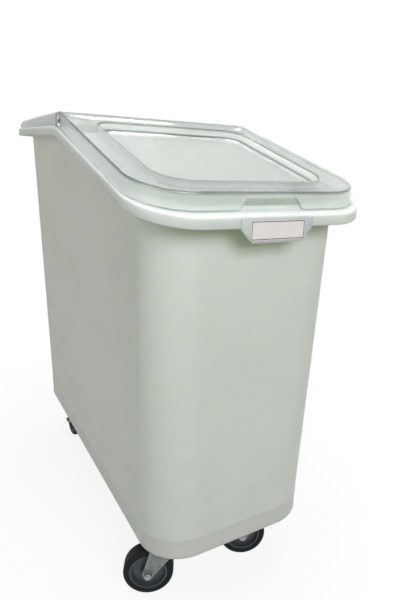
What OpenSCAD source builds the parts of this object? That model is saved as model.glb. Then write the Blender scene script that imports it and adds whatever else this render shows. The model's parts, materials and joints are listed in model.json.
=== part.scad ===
// Rolling flour bin: a slant-top tub on four casters with a two-part clear lid.
// Millimetres. +Z is up, the front faces -Y, the origin is on the floor under the middle.

/* [Overall] */
// Length over the rim, front to back
body_l = 750; // [700:5:800]
// Width over the rim
body_w = 340; // [320:5:370]
// Height from the floor to the flat top of the rear lid
body_h = 710; // [670:5:750]

/* [Tub] */
// Wall thickness
wall = 4; // [3:0.5:5]
// Floor thickness over the caster pads
floor_t = 12; // [11:0.5:16]
// Floor thickness between the caster pads
floor_skin = 5; // [4:0.5:7]
// Lean of the side walls, degrees
side_draft = 1.67; // [1:0.01:2.2]
// Lean of the front wall, degrees
front_draft = 2.5; // [1.5:0.1:3.2]
// Lean of the rear wall, degrees
rear_draft = 2.76; // [1.5:0.1:3.2]
// Radius of the two front corners
tub_front_r = 63.5; // [50:0.5:75]
// Radius of the two rear corners
tub_rear_r = 34; // [25:0.5:45]
// Height of the upright band at the foot of the walls
foot_h = 30; // [20:1:40]
// Radius of the band's lower edge
foot_r = 4; // [3:0.5:6]
// Radius inside, between the walls and the floor
floor_r = 8; // [6:0.5:12]

/* [Rim] */
// Height of the rim's outer face
rim_h = 15; // [12:0.5:18]
// Thickness of the rim
rim_t = 4; // [3:0.5:5]
// Overhang of the rim at the sides
rim_side = 23.3; // [20:0.1:26]
// Overhang of the rim at the front
rim_front = 30; // [25:0.5:34]
// Overhang of the rim at the rear
rim_rear = 27; // [22:0.5:32]
// Radius of the rim's front corners
rim_front_r = 78; // [65:0.5:88]
// Radius of the rim's rear corners
rim_rear_r = 41; // [35:0.5:55]
// Rounding of the rim's outer top edge
rim_round = 3; // [2:0.5:3.5]
// Fall of the rim from its rear half to its front
rim_fall = 99.5; // [80:0.5:115]
// Distance of the rim's bend behind the middle
rim_bend_y = 16; // [5:1:30]
// Half the length of the bend
rim_bend = 30; // [15:1:45]

/* [Label tab] */
// Width of the tab at the rim
tab_w = 105; // [90:1:120]
// Width of the tab at its lower edge
tab_low_w = 72; // [60:1:85]
// Drop of the tab below the rim
tab_drop = 18; // [12:0.5:24]
// How far the tab stands out from the rim's face
tab_proud = 0.8; // [0.4:0.1:1.5]
// Radius of the tab's lower corners
tab_r = 8; // [4:0.5:10]
// Width of the blank label
label_w = 79; // [50:1:84]
// Height of the blank label
label_h = 24; // [16:0.5:26]
// Thickness of the label
label_t = 0.5; // [0.3:0.1:1]

/* [Lids] */
// Height of the lid's flat top above the rim's lower edge at the rear
lid_rise = 36; // [33:0.5:42]
// Height of the front lid's skirt at the front edge
lid_front_h = 22.5; // [18:0.5:26]
// Wall thickness of both lids
lid_t = 3; // [2:0.5:3.5]
// Distance of the lids' top edge inside the rim's side face
lid_side_in = 4; // [3.5:0.5:7]
// Distance of the front lid's top edge inside the rim's front face
lid_front_in = 16; // [12:0.5:20]
// Distance of the rear lid's top edge inside the rim's rear face
lid_rear_in = 6; // [4:0.5:10]
// How far the skirts spread towards the rim
skirt_flare = 1; // [0.5:0.1:1]
// Radius of the front lid's front corners
lid_front_r = 69; // [58:0.5:78]
// Radius of the rear lid's rear corners
lid_rear_r = 36; // [28:0.5:45]
// Rounding of the lids' top edges
lid_round = 2.5; // [1.5:0.5:3]
// Rounding of the rear lid's top edge at the back
rear_round = 14; // [8:0.5:14]
// Fall of the rear lid's top from the hinge to the back
rear_fall = 4; // [2:0.5:5]
// Running gap between the lid skirts and the rim
lid_gap = 0.4; // [0.3:0.1:1]
// Width of the lid's border beside the sunken panel
panel_side = 40; // [30:1:50]
// Width of the lid's border in front of the sunken panel
panel_front = 42; // [34:1:55]
// Distance of the sunken panel from the hinge axis
panel_rear = 50; // [40:1:70]
// Depth of the sunken panel
panel_depth = 12; // [8:0.5:14]
// How far the panel's walls lean in
panel_lean = 6; // [4:0.5:9]
// Radius of the panel's front corners
panel_front_r = 45; // [35:1:55]
// Radius of the panel's rear corners
panel_rear_r = 28; // [20:1:40]
// Width of the finger notch at the rim
notch_w = 96; // [80:1:110]
// Width of the finger notch at its top
notch_top_w = 70; // [50:1:76]
// Height of the finger notch
notch_h = 14.5; // [10:0.5:15]

/* [Hinge] */
// Radius of the front lid's rounded nose
hinge_r = 12; // [11:0.5:12.5]
// Distance of the hinge axis in front of the middle
hinge_y = 5; // [0:0.5:10]
// Gap between the nose and the rear lid
nose_gap = 1; // [0.8:0.1:2]
// Thickness of the front lid's hinge ears
ear_t = 5; // [4:0.5:6]
// Thickness of the rear lid's hinge lugs
lug_t = 5; // [4:0.5:8]
// Gap between the ears and the lugs
ear_gap = 0.5; // [0.3:0.1:1]
// Height of the lugs' arms
arm_h = 6; // [5:0.5:6.5]
// Diameter of the hinge pins
pin_d = 6; // [5:0.5:7]
// Radial clearance of the pins in the ears
pin_fit = 0.05; // [0.02:0.01:0.1]
// Diameter of the pin heads
pin_head_d = 10; // [9:0.5:13]
// Thickness of the pin heads
pin_head_t = 1.6; // [1:0.1:2]

/* [Casters] */
// Wheel diameter
wheel_d = 75; // [70:1:80]
// Tread width
wheel_w = 25; // [22:0.5:27]
// Room between the top of the wheels and the tub
head_h = 27; // [25:0.5:32]
// Distance of the front wheel centres behind their swivel axes
trail = 28.5; // [26:0.5:34]
// Turn of the front casters as photographed, degrees
front_turn = 154; // [0:1:360]
// Distance of the swivel axes in from the sides of the rim
front_side_in = 87; // [84:0.5:92]
// Distance of the swivel axes behind the front of the rim
front_end_in = 125; // [121:1:135]
// Distance of the rear wheels in from the sides of the rim
rear_side_in = 84; // [83:1:92]
// Distance of the rear axles in front of the back of the rim
rear_end_in = 100; // [100:1:115]
// Thickness of the caster plates
plate_t = 2.5; // [2:0.25:3]
// Width and length of the front caster plates
plate_w = 56; // [54:1:60]
// Width of the rear caster plates
rear_plate_w = 56; // [52:1:58]
// Length of the rear caster plates
rear_plate_l = 72; // [70:1:76]
// Corner radius of the caster plates
plate_r = 6; // [4:0.5:8]
// Distance of the screw holes from the plate's edges
hole_edge = 8; // [7:0.5:9]
// Diameter of the caster screws
screw_d = 5; // [4:0.5:5.5]
// Length of the caster screws under the head
screw_l = 11; // [9:0.5:12]
// Thickness of the fork's sheet steel
fork_t = 2.5; // [2:0.25:3]
// Clear width between the fork legs
fork_gap = 28; // [28:0.5:31]
// Radius of the fork legs round the axle
eye_r = 8; // [7:0.5:10]
// Width of the front fork legs at the top
leg_top = 46; // [34:1:50]
// Width of the rear bracket legs at the top
rear_leg_top = 44; // [38:1:44]
// Diameter of the swivel race
race_d = 34; // [32:0.5:38]
// Diameter of the bearing balls
ball_d = 6; // [5:0.5:6.5]
// Number of bearing balls
ball_n = 12; // [8:1:14]
// Clearance of the balls in their grooves
ball_fit = 0.05; // [0.03:0.01:0.1]
// Diameter of the kingpin
kingpin_d = 12; // [10:0.5:13]
// Diameter of the axle bolt
axle_d = 6; // [6:0.5:8]
// Diameter of the sleeve that the wheel turns on
sleeve_d = 12; // [11:0.5:13]
// Radial clearance of the turning parts
run_fit = 0.05; // [0.03:0.01:0.1]
// Thickness of the tyre
tyre_t = 9; // [7:0.5:10]

/* [Hidden] */
$fn = 64;
CORNER_STEPS = 7;
BEND_STEPS = 4;
PROUD = 0.2;
ground_h = wheel_d + head_h;
rim_low_z = body_h - lid_rise;
half_w = body_w / 2;
half_l = body_l / 2;
front_x = half_w - front_side_in;
front_y = half_l - front_end_in;
rear_x = half_w - rear_side_in;
rear_y = half_l - rear_end_in;
rear_end = half_l - lid_rear_in;
rim_slope = rim_fall / (rim_bend_y + half_l);
foot_z = ground_h + foot_h;
floor_z = ground_h + floor_t;
hinge_z = body_h - hinge_r;
axis_y = -hinge_y;
lid_half_w = half_w - lid_side_in;
lid_front_y = -half_l + lid_front_in;
lid_front_z = rim_z(lid_front_y) + rim_h + lid_front_h;
lid_reach = axis_y - lid_front_y;
lid_tilt = atan2(hinge_z - lid_front_z, lid_reach)
  + asin(hinge_r / norm([lid_reach, hinge_z - lid_front_z]));
rear_lid_y = axis_y + hinge_r + nose_gap;
ear_x = half_w - lid_side_in + 0.6;
lug_x = ear_x - ear_t - ear_gap;
race_z = ground_h - plate_t - ball_d - ball_fit;
crown_z = race_z - 3;
wheel_r = wheel_d / 2;
core_r = wheel_r - tyre_t;
leg_out = fork_gap / 2 + fork_t;
plate_z = ground_h - plate_t;
hex_r = axle_d * 0.94;

CLEAR = [0.82, 0.86, 0.86, 0.5];
WHITE = [0.93, 0.94, 0.92];
STEEL = [0.66, 0.68, 0.70];
BRIGHT = [0.80, 0.81, 0.82];
RUBBER = [0.10, 0.10, 0.11];
CORE = [0.30, 0.33, 0.37];

// Height of the rim's lower edge at a place along the tub: flat, a soft bend, then a fall to the front
function rim_z(y) =
  let (d = rim_bend_y - y)
  rim_low_z - (d <= -rim_bend ? 0 : d >= rim_bend ? rim_slope * d : rim_slope * pow(d + rim_bend, 2) / (4 * rim_bend));

// Height of the front lid's top plane, which meets the rounded nose at the hinge
function lid_z(y) = hinge_z + hinge_r / cos(lid_tilt) + (y - axis_y) * tan(lid_tilt);

function arc(c, r, a0) =
  [for (i = [0 : CORNER_STEPS]) let (a = a0 + 90 * i / CORNER_STEPS) c + r * [cos(a), sin(a)]];

// Places along the sides where the outlines take an extra point, so that the rim can bend there
BEND_YS = [for (i = [0 : BEND_STEPS]) rim_bend_y + rim_bend * (2 * i / BEND_STEPS - 1)];

// A rounded rectangle, counter-clockwise from the front left corner
function outline(hw, front, rear, fr, rr) = concat(
  arc([-hw + fr, front + fr], fr, 180),
  arc([hw - fr, front + fr], fr, 270),
  [for (y = BEND_YS) [hw, y]],
  arc([hw - rr, rear - rr], rr, 0),
  arc([-hw + rr, rear - rr], rr, 90),
  [for (i = [BEND_STEPS : -1 : 0]) [-hw, BEND_YS[i]]]);

// The tub's wall outline at a height, drawn in by an inset
function wall_outline(z, inset) =
  let (down = rim_low_z - z)
  outline(half_w - rim_side - down * tan(side_draft) - inset,
    -half_l + rim_front + down * tan(front_draft) + inset,
    half_l - rim_rear - down * tan(rear_draft) - inset,
    tub_front_r - inset, tub_rear_r - inset);

// A level ring of the tub's wall
function wall_ring(z, inset) = [for (p = wall_outline(z, inset)) [p.x, p.y, z]];

// A ring of the upright band at the foot
function foot_ring(z, inset) = [for (p = wall_outline(foot_z, inset)) [p.x, p.y, z]];

// A ring of the tub's wall that follows the rim's bend, at a height over the rim's lower edge
function bent_wall_ring(over, inset) =
  let (flat = wall_outline(rim_low_z, inset))
  [for (i = [0 : len(flat) - 1])
    let (z = rim_z(flat[i].y) + over, p = wall_outline(z, inset)[i]) [p.x, p.y, z]];

// A ring of the rim, drawn in from the rim's outer face
function rim_ring(over, inset) =
  [for (p = outline(half_w - inset, -half_l + inset, half_l - inset, rim_front_r - inset, rim_rear_r - inset))
    [p.x, p.y, rim_z(p.y) + over]];

// The middle of a flat ring
function middle(ring) = [for (axis = [0 : 2]) [for (p = ring) p[axis]] * [for (p = ring) 1 / len(ring)]];

// A closed skin through rings of equal length, from the lowest underside to the uppermost floor
module loft(rings) {
  n = len(rings[0]);
  top = n * (len(rings) - 1);
  ends = n * len(rings);
  side = [for (k = [0 : len(rings) - 2], i = [0 : n - 1], half = [0, 1])
    let (a = k * n + i, b = k * n + (i + 1) % n)
    half == 0 ? [a, a + n, b + n] : [a, b + n, b]];
  first = [for (i = [0 : n - 1]) [i, (i + 1) % n, ends]];
  last = [for (i = [0 : n - 1]) [top + (i + 1) % n, top + i, ends + 1]];
  points = concat([for (r = rings, p = r) p], [middle(rings[0]), middle(rings[len(rings) - 1])]);
  polyhedron(points, concat(first, side, last));
}

// A bar on the hinge axis, from one place across the bin to another
module hinge_bar(x0, x1, r) {
  translate([x0, axis_y, hinge_z]) rotate([0, 90, 0]) cylinder(h = x1 - x0, r = r);
}

// The four screw holes of a caster plate
module at_holes(w, l) {
  for (sx = [-1, 1], sy = [-1, 1])
    translate([sx * (w / 2 - hole_edge), sy * (l / 2 - hole_edge), 0]) children();
}

module at_front(side) {
  translate([side * front_x, -front_y, 0]) children();
}

module at_rear(side) {
  translate([side * rear_x, rear_y, 0]) children();
}

// The front casters turn about their swivel axes, and the wheels trail along the turned X axis
module at_front_wheel(side) {
  at_front(side) rotate([0, 0, front_turn]) translate([trail, 0, wheel_r]) rotate([90, 0, 0]) children();
}

module at_rear_wheel(side) {
  at_rear(side) rotate([0, 0, 90]) translate([0, 0, wheel_r]) rotate([90, 0, 0]) children();
}

// The tab's outline, seen from the front, with arcs at its lower corners
function tab_outline() =
  let (lean = atan2((tab_w - tab_low_w) / 2, tab_drop), low = rim_z(-half_l) - tab_drop,
    back = tab_r * tan((90 - lean) / 2), top = rim_z(-half_l) + rim_h - rim_round,
    c = [tab_low_w / 2 - back, low + tab_r],
    right = [for (i = [0 : 5]) let (a = 270 + i * (90 - lean) / 5) c + tab_r * [cos(a), sin(a)]])
  concat(right, [[tab_w / 2, low + tab_drop], [tab_w / 2, top], [-tab_w / 2, top], [-tab_w / 2, low + tab_drop]],
    [for (i = [5 : -1 : 0]) [-right[i].x, right[i].y]]);

module tub() {
  color(WHITE) difference() {
    union() {
      loft([
        foot_ring(ground_h, foot_r),
        foot_ring(ground_h + foot_r * 0.3, foot_r * 0.3),
        foot_ring(ground_h + foot_r, 0),
        foot_ring(foot_z, 0),
        bent_wall_ring(rim_h - rim_t, 0),
        rim_ring(rim_h - rim_t, rim_t),
        rim_ring(0, rim_t),
        rim_ring(0, 1),
        rim_ring(1, 0),
        rim_ring(rim_h - rim_round, 0),
        rim_ring(rim_h - rim_round * 0.3, rim_round * 0.3),
        rim_ring(rim_h, rim_round),
        bent_wall_ring(rim_h, wall - 2),
        bent_wall_ring(rim_h - 2, wall),
        foot_ring(foot_z, wall),
        foot_ring(floor_z + floor_r, wall),
        foot_ring(floor_z + floor_r * 0.3, wall + floor_r * 0.3),
        foot_ring(floor_z, wall + floor_r)
      ]);
      translate([0, -half_l + rim_t - 1, 0]) rotate([90, 0, 0])
        linear_extrude(rim_t - 1 + tab_proud) polygon(tab_outline());
    }
    pocket = floor_t - floor_skin;
    pocket_w = front_x - plate_w / 2 - 8;
    pocket_l = front_y - plate_w / 2 - 8;
    translate([-pocket_w, -pocket_l - plate_w, ground_h - 1])
      cube([2 * pocket_w, 2 * (pocket_l + plate_w), pocket + 1]);
    translate([-front_x - 20, -pocket_l, ground_h - 1])
      cube([2 * (front_x + 20), pocket_l + rear_y - rear_plate_l / 2 - 8, pocket + 1]);
    for (side = [-1, 1]) {
      at_front(side) at_holes(plate_w, plate_w) screw_hole();
      at_rear(side) at_holes(rear_plate_w, rear_plate_l) screw_hole();
    }
  }
}

module screw_hole() {
  translate([0, 0, ground_h - 1]) cylinder(h = screw_l - plate_t + 1.5, d = screw_d + 2 * run_fit);
}

module label_plate() {
  middle = rim_z(-half_l) + (rim_h - rim_round - tab_drop) / 2 + 0.5;
  color("white") translate([-label_w / 2, -half_l - tab_proud - label_t, middle - label_h / 2])
    cube([label_w, label_t, label_h]);
}

// A ring of a lid's skirt: the inset draws it in, the drop is taken from the lid's own top
function skirt_ring(front, rear, fr, rr, inset, over) =
  [for (p = outline(lid_half_w - inset, front + inset, rear - inset, max(fr - inset, 1), max(rr - inset, 1)))
    [p.x, p.y, rim_z(p.y) + rim_h + over]];

// The front lid's outline runs on behind the hinge, where it is cut off
FRONT_RUN = BEND_YS[BEND_STEPS] + 20;

function front_skirt(inset, over) =
  skirt_ring(lid_front_y, FRONT_RUN, lid_front_r, 4, inset, over);

function front_top(inset, drop) =
  [for (p = outline(lid_half_w - inset, lid_front_y + inset, FRONT_RUN - inset, lid_front_r - inset, max(4 - inset, 1)))
    [p.x, p.y, lid_z(p.y) - drop]];

// The sunken panel's outline, on the lid's top plane or below it
function panel_ring(inset, drop) =
  let (hw = lid_half_w - panel_side - inset,
    front = lid_front_y + panel_front * cos(lid_tilt) + inset,
    rear = axis_y - panel_rear * cos(lid_tilt) - inset,
    fr = panel_front_r - inset, rr = panel_rear_r - inset,
    ys = [for (i = [0 : BEND_STEPS]) rear - rr - 10 + 8 * i / BEND_STEPS])
  [for (p = concat(arc([-hw + fr, front + fr], fr, 180), arc([hw - fr, front + fr], fr, 270),
      [for (y = ys) [hw, y]], arc([hw - rr, rear - rr], rr, 0), arc([-hw + rr, rear - rr], rr, 90),
      [for (i = [BEND_STEPS : -1 : 0]) [-hw, ys[i]]]))
    [p.x, p.y, lid_z(p.y) - drop]];

module front_lid() {
  nose_r = hinge_r - 0.1;
  color(CLEAR) difference() {
    union() {
      difference() {
        loft([
          panel_ring(panel_lean + lid_t * 0.5, panel_depth + lid_t),
          panel_ring(-lid_t * 0.5, lid_t),
          front_top(lid_t, lid_t),
          front_skirt(lid_t - skirt_flare, lid_gap),
          front_skirt(-skirt_flare, lid_gap),
          front_top(0, lid_round),
          front_top(lid_round * 0.3, lid_round * 0.3),
          front_top(lid_round, 0),
          panel_ring(-1.5, 0),
          panel_ring(0, 1.2),
          panel_ring(panel_lean, panel_depth)
        ]);
        translate([-half_w, axis_y, hinge_z]) rotate([lid_tilt, 0, 0])
          translate([0, 0, -body_h / 4]) cube([body_w, body_l, body_h / 2]);
        translate([0, lid_front_y + 10, 0]) rotate([90, 0, 0]) linear_extrude(30) polygon(notch_outline());
      }
      nose(nose_r);
      for (side = [-1, 1]) hinge_bar(side > 0 ? ear_x - ear_t : -ear_x, side > 0 ? ear_x : ear_t - ear_x, nose_r);
    }
    hinge_bar(-half_w, half_w, pin_d / 2 + pin_fit);
    hinge_bar(-lug_x - ear_gap, lug_x + ear_gap, nose_r - lid_t);
  }
}

// The finger notch in the front skirt, seen from the front
function notch_outline() =
  let (low = rim_z(lid_front_y) - 5, foot = rim_z(lid_front_y) + rim_h + lid_gap, top = foot + notch_h)
  [[-notch_w / 2, low], [notch_w / 2, low], [notch_w / 2, foot], [notch_top_w / 2 + 4, top - 4],
    [notch_top_w / 2, top], [-notch_top_w / 2, top], [-notch_top_w / 2 - 4, top - 4], [-notch_w / 2, foot]];

// The rounded rear edge of the front lid, concentric with the hinge, between the lugs
module nose(r) {
  nose_x = lug_x - lug_t - ear_gap;
  intersection() {
    difference() {
      hinge_bar(-nose_x, nose_x, r);
      hinge_bar(-lid_half_w, lid_half_w, r - lid_t);
    }
    translate([-half_w, axis_y, hinge_z]) rotate([lid_tilt, 0, 0]) translate([0, -1, 0]) cube([body_w, 40, 40]);
  }
}

// The rear lid's outline runs on in front of the hinge, where it is cut off
REAR_RUN = -60;

// The rear lid's top edge is rounded more and more towards the back
function rear_share(y) = (y - rear_lid_y) / (rear_end - rear_lid_y);

function rear_edge_r(y) = lid_round + (rear_round - lid_round) * pow(max(rear_share(y), 0), 2);

// A ring of the rear lid's rounded edge, at an angle from the skirt to the top, under a depth of wall
function rear_edge(angle, depth) =
  let (plain = outline(lid_half_w, REAR_RUN, rear_end, 4, lid_rear_r))
  [for (i = [0 : len(plain) - 1])
    let (r = max(rear_edge_r(plain[i].y) - depth, 0.5), inset = depth + r * (1 - cos(angle)),
      p = outline(lid_half_w - inset, REAR_RUN, rear_end - inset, 4, max(lid_rear_r - inset, 4))[i])
    [p.x, p.y, body_h - rear_fall * rear_share(p.y) - depth - r * (1 - sin(angle))]];

function rear_skirt(inset) =
  skirt_ring(REAR_RUN, rear_end, 4, lid_rear_r, inset, lid_gap);

module rear_lid() {
  color(CLEAR) union() {
    difference() {
      loft([
        rear_edge(90, lid_t),
        rear_edge(45, lid_t),
        rear_edge(0, lid_t),
        rear_skirt(lid_t - skirt_flare),
        rear_skirt(-skirt_flare),
        rear_edge(0, 0),
        rear_edge(30, 0),
        rear_edge(60, 0),
        rear_edge(90, 0)
      ]);
      translate([-half_w, REAR_RUN - 20, 0]) cube([body_w, rear_lid_y - REAR_RUN + 20, body_h + 10]);
    }
    for (side = [-1, 1]) lug(side);
  }
}

// A lug of the rear lid, which carries a hinge pin beside the front lid's ear
module lug(side) {
  lug_r = hinge_r - lid_t - 1;
  x0 = side > 0 ? lug_x - lug_t : -lug_x;
  block = lug_t + ear_gap + ear_t - lid_t + 0.5;
  block_l = 14;
  difference() {
    union() {
      hinge_bar(x0, x0 + lug_t, lug_r);
      translate([x0, axis_y, hinge_z - lug_r]) cube([lug_t, hinge_r + nose_gap + block_l, arm_h]);
      translate([side > 0 ? x0 : x0 + lug_t - block, rear_lid_y, hinge_z - lug_r])
        cube([block, block_l, 2 * lug_r]);
    }
    hinge_bar(-half_w, half_w, pin_d / 2);
  }
}

// A hinge pin: a round head outside the ear and a shank pressed into the lug
module hinge_pin(side) {
  color(BRIGHT) union() {
    hinge_bar(side > 0 ? lug_x - lug_t : -ear_x - 0.3, side > 0 ? ear_x + 0.3 : lug_t - lug_x, pin_d / 2);
    hinge_bar(side > 0 ? ear_x + 0.3 : -ear_x - 0.3 - pin_head_t,
      side > 0 ? ear_x + 0.3 + pin_head_t : -ear_x - 0.3, pin_head_d / 2);
  }
}

// A flat plate with round corners and four screw holes, against the tub's underside
module plate(w, l) {
  translate([0, 0, plate_z]) difference() {
    linear_extrude(plate_t) difference() {
      square([w, l], center = true);
      for (sx = [-1, 1], sy = [-1, 1]) translate([sx * w / 2, sy * l / 2]) difference() {
        square(2 * plate_r, center = true);
        translate([-sx * plate_r, -sy * plate_r]) circle(plate_r);
      }
    }
    at_holes(w, l) translate([0, 0, -1]) cylinder(h = plate_t + 2, d = screw_d + 2 * run_fit);
  }
}

// A ring with a round groove for the balls, from one height to another
module race(z0, z1) {
  rotate_extrude() difference() {
    translate([race_d / 2 - ball_d * 0.75, z0]) square([ball_d * 1.5, z1 - z0]);
    translate([race_d / 2, race_z + ball_d / 2]) circle(ball_d / 2 + ball_fit);
  }
}

module front_plate(side) {
  color(STEEL) at_front(side) difference() {
    union() {
      plate(plate_w, plate_w);
      race(race_z + ball_d * 0.62, plate_z + PROUD);
    }
    translate([0, 0, plate_z - ball_d]) cylinder(h = plate_t + ball_d + 1, d = kingpin_d);
  }
}

module plate_screws(w, l) {
  at_holes(w, l) {
    translate([0, 0, plate_z - 2.4]) cylinder(h = 2.4, d = screw_d * 1.9);
    translate([0, 0, plate_z - 1]) cylinder(h = screw_l + 1, d = screw_d);
  }
}

module front_screws(side) {
  color(BRIGHT) at_front(side) plate_screws(plate_w, plate_w);
}

module rear_screws(side) {
  color(BRIGHT) at_rear(side) plate_screws(rear_plate_w, rear_plate_l);
}

// The kingpin rivet: its shank joins the plate and its head carries the fork
module kingpin(side) {
  head_z = crown_z - fork_t - 0.3;
  color(BRIGHT) at_front(side) {
    translate([0, 0, head_z - 3]) cylinder(h = 3, d = kingpin_d + 8);
    translate([0, 0, head_z - 1]) cylinder(h = ground_h - head_z + 1, d = kingpin_d);
  }
}

module balls(side) {
  color(BRIGHT) at_front(side)
    for (i = [1 : ball_n]) rotate([0, 0, 360 * i / ball_n])
      translate([race_d / 2, 0, race_z + ball_d / 2]) sphere(d = ball_d);
}

// One fork leg in its own plane: a straight top that narrows to a round eye at the axle
module leg(top_z, top_w, back) {
  c = [back, wheel_r];
  lean_front = leg_angle(c, [-top_w / 2, top_z], 1);
  lean_rear = leg_angle(c, [top_w / 2, top_z], -1);
  difference() {
    linear_extrude(fork_t) polygon(concat([[top_w / 2, top_z], [-top_w / 2, top_z]],
      [for (i = [0 : 12]) let (a = lean_front + (lean_rear + 360 - lean_front) * i / 12)
        c + eye_r * [cos(a), sin(a)]]));
    translate([back, wheel_r, -1]) cylinder(h = fork_t + 2, d = axle_d + 2 * run_fit);
  }
}

// Angle on the eye where the straight edge from a top corner touches it
function leg_angle(c, p, turn) =
  let (d = p - c) atan2(d.y, d.x) + turn * acos(eye_r / norm(d));

module two_legs(top_z, top_w, back) {
  for (y = [-fork_gap / 2, leg_out]) translate([0, y, 0]) rotate([90, 0, 0]) leg(top_z, top_w, back);
}

module front_fork(side) {
  color(STEEL) at_front(side) rotate([0, 0, front_turn]) difference() {
    union() {
      two_legs(crown_z - fork_t + PROUD, leg_top, trail);
      translate([0, 0, crown_z - fork_t]) cylinder(h = fork_t, d = leg_top + 10);
      race(crown_z - PROUD, race_z + ball_d * 0.38);
    }
    translate([0, 0, crown_z - fork_t - 1]) cylinder(h = fork_t + ball_d + 5, d = kingpin_d + 2 * run_fit);
  }
}

module rear_bracket(side) {
  color(STEEL) at_rear(side) union() {
    plate(rear_plate_w, rear_plate_l);
    rotate([0, 0, 90]) two_legs(plate_z + PROUD, rear_leg_top, 0);
  }
}

// The parts on an axle, drawn along Z about the wheel's centre
module axle() {
  color(BRIGHT) {
    translate([0, 0, leg_out]) cylinder(h = axle_d * 0.66, r = hex_r, $fn = 6);
    translate([0, 0, -leg_out - axle_d]) cylinder(h = 2 * leg_out + axle_d + 1, d = axle_d);
  }
}

module nut() {
  color(BRIGHT) translate([0, 0, -leg_out - axle_d * 0.8]) difference() {
    cylinder(h = axle_d * 0.8, r = hex_r, $fn = 6);
    translate([0, 0, -1]) cylinder(h = axle_d + 2, d = axle_d + 2 * run_fit);
  }
}

module sleeve() {
  color(STEEL) difference() {
    cylinder(h = fork_gap, d = sleeve_d, center = true);
    cylinder(h = fork_gap + 2, d = axle_d + 2 * run_fit, center = true);
  }
}

// The moulded core: a hub, a thin web and a ring under the tyre
module core() {
  hub = fork_gap / 2 - 0.6;
  web = wheel_w * 0.2;
  ring = wheel_w / 2 - 1;
  bore = sleeve_d / 2 + run_fit;
  color(CORE) rotate_extrude() polygon([
    [bore, -hub], [bore + 4, -hub], [bore + 6, -web], [core_r - 4.5, -web], [core_r - 3, -ring], [core_r, -ring],
    [core_r, ring], [core_r - 3, ring], [core_r - 4.5, web], [bore + 6, web], [bore + 4, hub], [bore, hub]]);
}

// The tyre: a round-shouldered band with a nearly flat tread
module tyre() {
  inner = core_r + run_fit;
  half = wheel_w / 2;
  shoulder = 5;
  color(RUBBER) rotate_extrude() difference() {
    translate([inner, -half]) square([wheel_r - inner, wheel_w]);
    for (s = [-1, 1]) translate([wheel_r, s * half]) difference() {
      square(2 * shoulder, center = true);
      translate([-shoulder, -s * shoulder]) circle(shoulder);
    }
  }
}

tub();
label_plate();
rear_lid();
front_lid();
hinge_pin(-1);  // hinge_pin_left
hinge_pin(1);  // hinge_pin_right
front_plate(-1);  // front_left_plate
front_screws(-1);  // front_left_screws
kingpin(-1);  // front_left_kingpin
balls(-1);  // front_left_balls
front_fork(-1);  // front_left_fork
at_front_wheel(-1) axle();  // front_left_axle
at_front_wheel(-1) nut();  // front_left_nut
at_front_wheel(-1) sleeve();  // front_left_sleeve
at_front_wheel(-1) core();  // front_left_core
at_front_wheel(-1) tyre();  // front_left_tyre
front_plate(1);  // front_right_plate
front_screws(1);  // front_right_screws
kingpin(1);  // front_right_kingpin
balls(1);  // front_right_balls
front_fork(1);  // front_right_fork
at_front_wheel(1) axle();  // front_right_axle
at_front_wheel(1) nut();  // front_right_nut
at_front_wheel(1) sleeve();  // front_right_sleeve
at_front_wheel(1) core();  // front_right_core
at_front_wheel(1) tyre();  // front_right_tyre
rear_bracket(-1);  // rear_left_bracket
rear_screws(-1);  // rear_left_screws
at_rear_wheel(-1) axle();  // rear_left_axle
at_rear_wheel(-1) nut();  // rear_left_nut
at_rear_wheel(-1) sleeve();  // rear_left_sleeve
at_rear_wheel(-1) core();  // rear_left_core
at_rear_wheel(-1) tyre();  // rear_left_tyre
rear_bracket(1);  // rear_right_bracket
rear_screws(1);  // rear_right_screws
at_rear_wheel(1) axle();  // rear_right_axle
at_rear_wheel(1) nut();  // rear_right_nut
at_rear_wheel(1) sleeve();  // rear_right_sleeve
at_rear_wheel(1) core();  // rear_right_core
at_rear_wheel(1) tyre();  // rear_right_tyre
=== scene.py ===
import json
import math

import bpy
import numpy as np
from mathutils import Matrix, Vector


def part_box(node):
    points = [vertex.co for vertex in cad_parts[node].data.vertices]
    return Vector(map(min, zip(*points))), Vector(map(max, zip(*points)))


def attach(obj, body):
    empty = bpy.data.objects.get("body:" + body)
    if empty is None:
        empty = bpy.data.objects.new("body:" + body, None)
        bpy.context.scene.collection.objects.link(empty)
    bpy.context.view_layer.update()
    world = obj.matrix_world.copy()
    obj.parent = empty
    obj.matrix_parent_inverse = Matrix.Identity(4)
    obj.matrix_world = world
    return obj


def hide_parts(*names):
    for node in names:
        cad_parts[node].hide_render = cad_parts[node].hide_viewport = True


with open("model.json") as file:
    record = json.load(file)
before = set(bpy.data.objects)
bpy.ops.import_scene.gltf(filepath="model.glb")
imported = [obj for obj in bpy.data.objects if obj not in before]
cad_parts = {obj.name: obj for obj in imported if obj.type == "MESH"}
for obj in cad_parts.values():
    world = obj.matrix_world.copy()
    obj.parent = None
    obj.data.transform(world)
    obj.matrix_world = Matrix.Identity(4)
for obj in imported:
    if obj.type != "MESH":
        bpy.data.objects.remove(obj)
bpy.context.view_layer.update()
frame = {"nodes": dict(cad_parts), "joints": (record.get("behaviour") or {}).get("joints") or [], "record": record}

# The tub: one injection moulding in off-white polypropylene, with walls that lean in to an upright foot.
# Its rim is rolled outwards and down, level over the rear half and sloping down over the front half.
# The underside is pocketed between the pads that the casters are screwed to.
MM = 0.001
CORNER_STEPS = 20
FRONT_STEPS = 64
TUB_LOW, TUB_HIGH = (np.array(corner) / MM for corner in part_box("tub"))
HALF_W = TUB_HIGH[0]
HALF_L = TUB_HIGH[1]
GROUND = TUB_LOW[2]
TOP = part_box("rear_lid")[1][2] / MM
LID_RISE = 36.0
RIM_LOW = TOP - LID_RISE
RIM_H = 15.0
RIM_T = 4.0
RIM_ROUND = 3.0
RIM_SIDE = 23.3
RIM_FRONT = 30.0
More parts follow.
